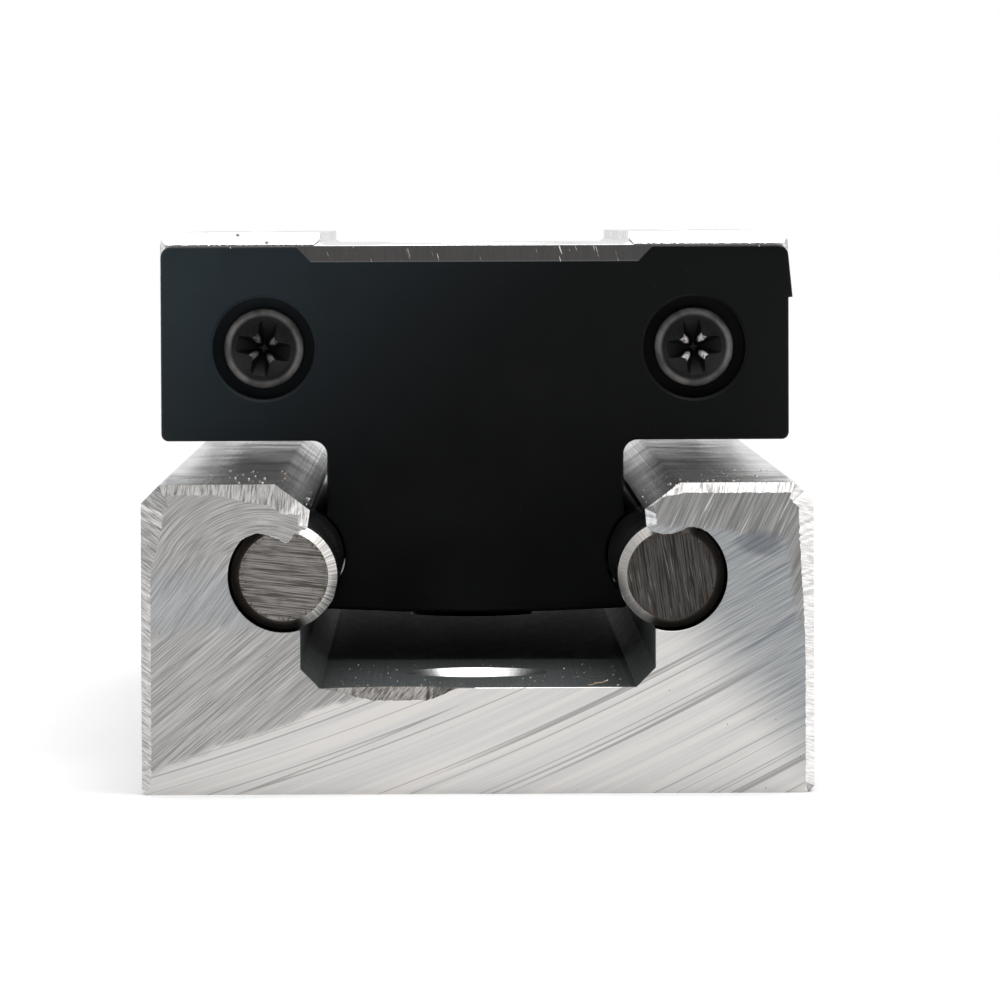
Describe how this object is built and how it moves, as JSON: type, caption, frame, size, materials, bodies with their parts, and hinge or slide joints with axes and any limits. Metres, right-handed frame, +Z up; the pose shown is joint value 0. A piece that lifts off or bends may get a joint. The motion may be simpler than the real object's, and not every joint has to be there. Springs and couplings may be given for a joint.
{
  "type": "linear guide carriage",
  "caption": "Low-profile linear guide: a T-shaped roller carriage with end caps runs between round shafts held in the walls of a grooved U rail.",
  "frame": {"origin": "centre of the rail's bottom face", "axes": "+X across the rail, +Y along the rail and away from the pictured end, +Z up from the mounting face to the carriage pads"},
  "size_m": [0.0626, 0.244, 0.052],
  "materials": {
    "anodised_aluminium": "satin anodised extrusion, saw-cut end",
    "ground_shaft_steel": "hardened, ground, ends faced",
    "milled_aluminium": "milled, edges lightly broken",
    "black_plastic": "moulded, matt with a slight sheen",
    "black_screw_steel": "black oxide",
    "bearing_ring_steel": "ground bearing steel",
    "bearing_inner_steel": "ground bearing steel",
    "ball_and_cage_steel": "polished balls in a pressed cage",
    "stud_steel": "turned, blackened",
    "spacer_steel": "turned",
    "zinc_plated_steel": "zinc plated"
  },
  "bodies": {
    "rail": {"rail_extrusion": "anodised_aluminium", "rod_left": "ground_shaft_steel", "rod_right": "ground_shaft_steel"},
    "carriage": {"carriage_block": "milled_aluminium", "front_end_cap": "black_plastic", "rear_end_cap": "black_plastic", "front_screw_left": "black_screw_steel", "front_screw_right": "black_screw_steel", "rear_screw_left": "black_screw_steel", "rear_screw_right": "black_screw_steel", "roller_1_stud": "stud_steel", "roller_1_inner": "bearing_inner_steel", "roller_1_spacer": "spacer_steel", "roller_1_nut": "zinc_plated_steel", "roller_2_stud": "stud_steel", "roller_2_inner": "bearing_inner_steel", "roller_2_spacer": "spacer_steel", "roller_2_nut": "zinc_plated_steel", "roller_3_stud": "stud_steel", "roller_3_inner": "bearing_inner_steel", "roller_3_spacer": "spacer_steel", "roller_3_nut": "zinc_plated_steel", "roller_4_stud": "stud_steel", "roller_4_inner": "bearing_inner_steel", "roller_4_spacer": "spacer_steel", "roller_4_nut": "zinc_plated_steel"},
    "wheel_1": {"roller_1_ring": "bearing_ring_steel"},
    "wheel_2": {"roller_2_ring": "bearing_ring_steel"},
    "wheel_3": {"roller_3_ring": "bearing_ring_steel"},
    "wheel_4": {"roller_4_ring": "bearing_ring_steel"},
    "cage_1": {"roller_1_cage": "ball_and_cage_steel"},
    "cage_2": {"roller_2_cage": "ball_and_cage_steel"},
    "cage_3": {"roller_3_cage": "ball_and_cage_steel"},
    "cage_4": {"roller_4_cage": "ball_and_cage_steel"}
  },
  "joints": [
    {"name": "carriage_slide", "type": "slide", "parent": "rail", "child": "carriage", "axis": [0, 1, 0], "range_m": [-0.039, 0.076]},
    {"name": "wheel_1_spin", "type": "hinge", "parent": "carriage", "child": "wheel_1", "pos_m": [-0.0035, -0.0587, 0.02025], "axis": [0, 0, 1], "continuous": true},
    {"name": "cage_1_spin", "type": "hinge", "parent": "carriage", "child": "cage_1", "pos_m": [-0.0035, -0.0587, 0.02025], "axis": [0, 0, 1], "continuous": true},
    {"name": "wheel_2_spin", "type": "hinge", "parent": "carriage", "child": "wheel_2", "pos_m": [-0.0035, 0.0213, 0.02025], "axis": [0, 0, 1], "continuous": true},
    {"name": "cage_2_spin", "type": "hinge", "parent": "carriage", "child": "cage_2", "pos_m": [-0.0035, 0.0213, 0.02025], "axis": [0, 0, 1], "continuous": true},
    {"name": "wheel_3_spin", "type": "hinge", "parent": "carriage", "child": "wheel_3", "pos_m": [0.0035, -0.0322, 0.02025], "axis": [0, 0, 1], "continuous": true},
    {"name": "cage_3_spin", "type": "hinge", "parent": "carriage", "child": "cage_3", "pos_m": [0.0035, -0.0322, 0.02025], "axis": [0, 0, 1], "continuous": true},
    {"name": "wheel_4_spin", "type": "hinge", "parent": "carriage", "child": "wheel_4", "pos_m": [0.0035, -0.0052, 0.02025], "axis": [0, 0, 1], "continuous": true},
    {"name": "cage_4_spin", "type": "hinge", "parent": "carriage", "child": "cage_4", "pos_m": [0.0035, -0.0052, 0.02025], "axis": [0, 0, 1], "continuous": true}
  ],
  "couplings": [
    {"joint": "wheel_1_spin", "follows": "carriage_slide", "rad_per_m": 105.26},
    {"joint": "cage_1_spin", "follows": "carriage_slide", "rad_per_m": 62.632},
    {"joint": "wheel_2_spin", "follows": "carriage_slide", "rad_per_m": 105.26},
    {"joint": "cage_2_spin", "follows": "carriage_slide", "rad_per_m": 62.632},
    {"joint": "wheel_3_spin", "follows": "carriage_slide", "rad_per_m": -105.26},
    {"joint": "cage_3_spin", "follows": "carriage_slide", "rad_per_m": -62.632},
    {"joint": "wheel_4_spin", "follows": "carriage_slide", "rad_per_m": -105.26},
    {"joint": "cage_4_spin", "follows": "carriage_slide", "rad_per_m": -62.632}
  ]
}
